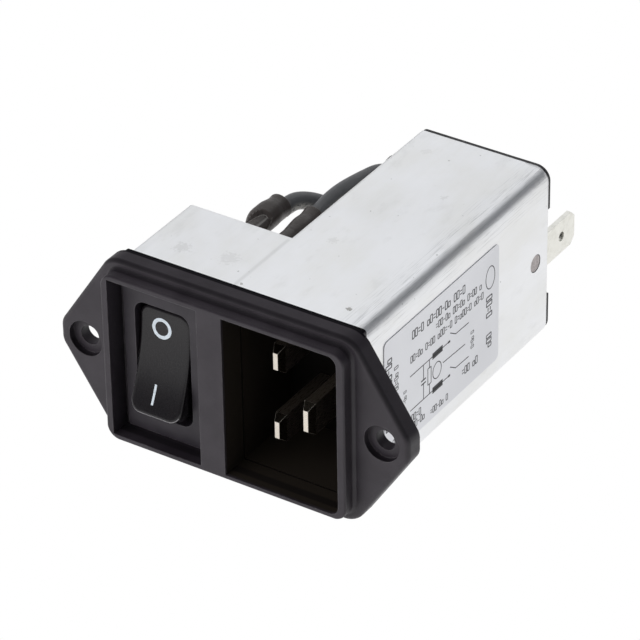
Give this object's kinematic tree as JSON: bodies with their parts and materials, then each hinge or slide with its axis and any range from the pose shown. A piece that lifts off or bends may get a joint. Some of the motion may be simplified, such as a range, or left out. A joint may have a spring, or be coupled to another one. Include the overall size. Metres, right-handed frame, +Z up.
{
  "type": "emi line filter",
  "caption": "Panel-mount mains inlet with a rocker switch and an L-shaped sheet-metal can that holds the line filter, joined by jumper leads.",
  "frame": {"origin": "midway between the two screw holes, in the plane where the back of the flange seats on the panel", "axes": "+X to the right seen from the front, +Y into the panel along the can, +Z up"},
  "size_m": [0.0658, 0.074, 0.0344],
  "materials": {
    "bezel_plastic": "moulded, fine grain",
    "switch_plastic": "moulded, satin",
    "rocker_plastic": "moulded, satin",
    "blade_nickel": "nickel plated brass",
    "plunger_plastic": "natural",
    "spring_steel": "drawn wire",
    "contact_copper": "bare copper alloy",
    "terminal_brass": "stamped",
    "can_steel": "tinned sheet, bent",
    "cover_plastic": "moulded",
    "tab_tinned": "tinned brass",
    "rivet_steel": "plain",
    "board_laminate": "laminate",
    "ferrite": "sintered, coated",
    "enamelled_copper": "enamelled wire",
    "capacitor_case": "moulded case",
    "capacitor_disc": "dipped",
    "resistor_body": "coated",
    "lead_pvc": "extruded",
    "sleeve_shrink": "shrunk",
    "grommet_rubber": "moulded",
    "label_film": "satin film"
  },
  "bodies": {
    "housing": {"front_bezel": "bezel_plastic", "switch_housing": "switch_plastic", "line_pin": "blade_nickel", "neutral_pin": "blade_nickel", "earth_pin": "blade_nickel", "common_terminal_left": "terminal_brass", "common_terminal_right": "terminal_brass", "load_terminal_left": "terminal_brass", "load_terminal_right": "terminal_brass", "line_link": "terminal_brass", "neutral_link": "terminal_brass", "filter_can": "can_steel", "rear_cover": "cover_plastic", "earth_tab": "tab_tinned", "earth_rivet": "rivet_steel", "earth_strap": "terminal_brass", "circuit_board": "board_laminate", "choke_core": "ferrite", "choke_winding_line": "enamelled_copper", "choke_winding_neutral": "enamelled_copper", "line_capacitor": "capacitor_case", "earth_capacitor_left": "capacitor_disc", "earth_capacitor_right": "capacitor_disc", "bleed_resistor": "resistor_body", "load_tab_line": "tab_tinned", "load_tab_neutral": "tab_tinned", "lead_a": "lead_pvc", "lead_b": "lead_pvc", "lead_sleeve_a": "sleeve_shrink", "lead_sleeve_b": "sleeve_shrink", "grommet_a": "grommet_rubber", "grommet_b": "grommet_rubber", "rating_label": "label_film"},
    "rocker": {"rocker": "rocker_plastic", "plunger_left": "plunger_plastic", "plunger_right": "plunger_plastic", "plunger_spring_left": "spring_steel", "plunger_spring_right": "spring_steel"},
    "lever_left": {"contact_lever_left": "contact_copper"},
    "lever_right": {"contact_lever_right": "contact_copper"}
  },
  "joints": [
    {"name": "rocker_tilt", "type": "hinge", "parent": "housing", "child": "rocker", "pos_m": [-0.013, -0.001, 0], "axis": [1, 0, 0], "range_deg": [0, 28]},
    {"name": "lever_left_tilt", "type": "hinge", "parent": "housing", "child": "lever_left", "pos_m": [-0.0159, 0.00668, 0], "axis": [1, 0, 0], "range_deg": [-16, 0]},
    {"name": "lever_right_tilt", "type": "hinge", "parent": "housing", "child": "lever_right", "pos_m": [-0.0101, 0.00668, 0], "axis": [1, 0, 0], "range_deg": [-16, 0]}
  ],
  "couplings": [
    {"joint": "lever_left_tilt", "follows": "rocker_tilt", "ratio": -0.5714},
    {"joint": "lever_right_tilt", "follows": "rocker_tilt", "ratio": -0.5714}
  ]
}
